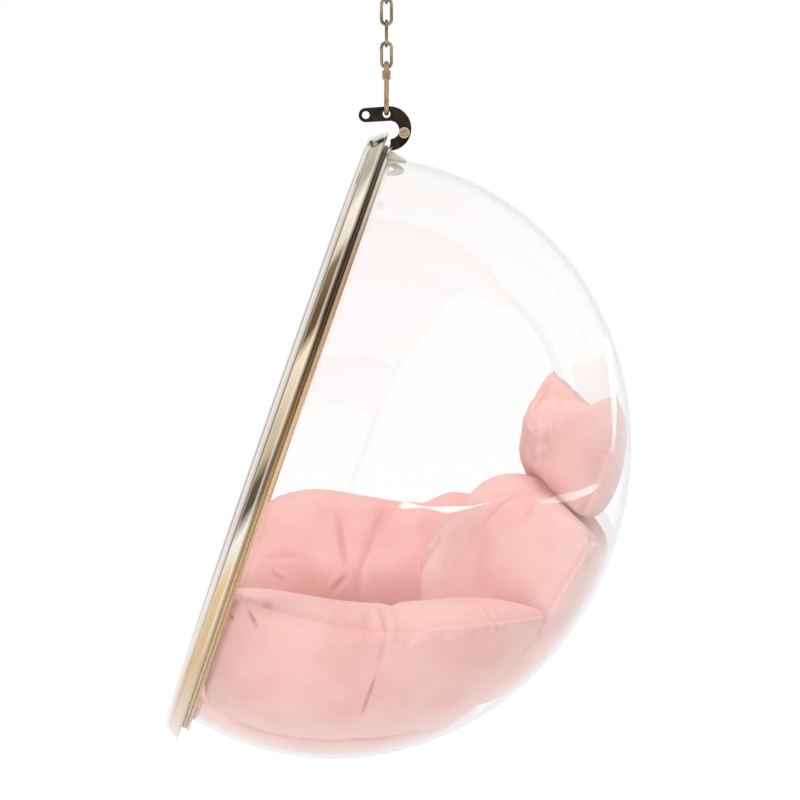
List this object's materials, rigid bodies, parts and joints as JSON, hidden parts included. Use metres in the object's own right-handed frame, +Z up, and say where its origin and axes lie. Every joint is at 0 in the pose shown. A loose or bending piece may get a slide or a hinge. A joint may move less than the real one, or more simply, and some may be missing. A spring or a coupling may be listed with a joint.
{
  "type": "hanging bubble chair",
  "caption": "Clear domed bubble chair in a gold-toned metal ring, hung by a hook plate, screw-lock link, chain and ceiling swivel, with pink cotton cushions inside.",
  "frame": {"origin": "centre of the ceiling plate's mounting face", "axes": "+Z up into the ceiling, -Y out of the bubble's mouth, +X to the left-hand side of somebody who sits in it"},
  "size_m": [1.0702, 0.7792, 1.3875],
  "materials": {
    "swivel_metal": "satin, gold-toned",
    "bearing_steel": "ground",
    "link_metal": "plated, bronze-gold",
    "dark_steel": "near-black, polished",
    "lug_metal": "satin",
    "fastener": "plated, pale gold",
    "saddle_metal": "satin",
    "clear_acrylic": "clear, polished",
    "ring_metal": "polished, gold-toned",
    "clamp_metal": "satin, gold-toned",
    "gasket_rubber": "matte, beige-grey",
    "pink_cotton": "plain woven cotton"
  },
  "bodies": {
    "ceiling": {"ceiling_plate": "swivel_metal", "thrust_race_lower": "bearing_steel", "thrust_balls": "bearing_steel"},
    "swivel": {"thrust_race_upper": "bearing_steel", "swivel_nut": "swivel_metal", "swivel_eye": "swivel_metal"},
    "link_1": {"chain_link_1": "link_metal"},
    "chain": {"chain_link_2": "link_metal", "chain_link_3": "link_metal", "chain_link_4": "link_metal", "chain_link_5": "link_metal"},
    "screw_link": {"quick_link": "link_metal"},
    "sleeve_nut": {"quick_link_nut": "link_metal"},
    "chair": {"hook_plate": "dark_steel", "hook_lug": "lug_metal", "hook_bolt": "fastener", "hook_washers": "fastener", "hook_nut": "fastener", "hook_saddle": "saddle_metal", "bubble_shell": "clear_acrylic", "front_ring": "ring_metal", "clamp_ring_upper": "clamp_metal", "clamp_ring_lower": "clamp_metal", "gasket_front": "gasket_rubber", "gasket_back": "gasket_rubber", "ring_screws": "fastener", "seat_cushion": "pink_cotton", "arm_cushion_left": "pink_cotton", "arm_cushion_right": "pink_cotton", "back_cushion": "pink_cotton", "head_pillow": "pink_cotton"}
  },
  "joints": [
    {"name": "swivel_turn", "type": "hinge", "parent": "ceiling", "child": "swivel", "pos_m": [0, 0, -0.02], "axis": [0, 0, 1], "continuous": true},
    {"name": "link_1_swing", "type": "hinge", "parent": "swivel", "child": "link_1", "pos_m": [0, 0, -0.0648], "axis": [1, 0, 0], "range_deg": [-12, 12]},
    {"name": "chain_swing", "type": "hinge", "parent": "link_1", "child": "chain", "pos_m": [0, 0, -0.09835], "axis": [0, 1, 0], "range_deg": [-12, 12]},
    {"name": "quick_link_swing", "type": "hinge", "parent": "chain", "child": "screw_link", "pos_m": [0, 0, -0.23795], "axis": [0, 1, 0], "range_deg": [-12, 12]},
    {"name": "sleeve_nut_slide", "type": "slide", "parent": "screw_link", "child": "sleeve_nut", "axis": [0, 0, -1], "range_m": [0, 0.013]},
    {"name": "chair_swing", "type": "hinge", "parent": "screw_link", "child": "chair", "pos_m": [0, 0, -0.3121], "axis": [1, 0, 0], "range_deg": [-15, 15]}
  ]
}
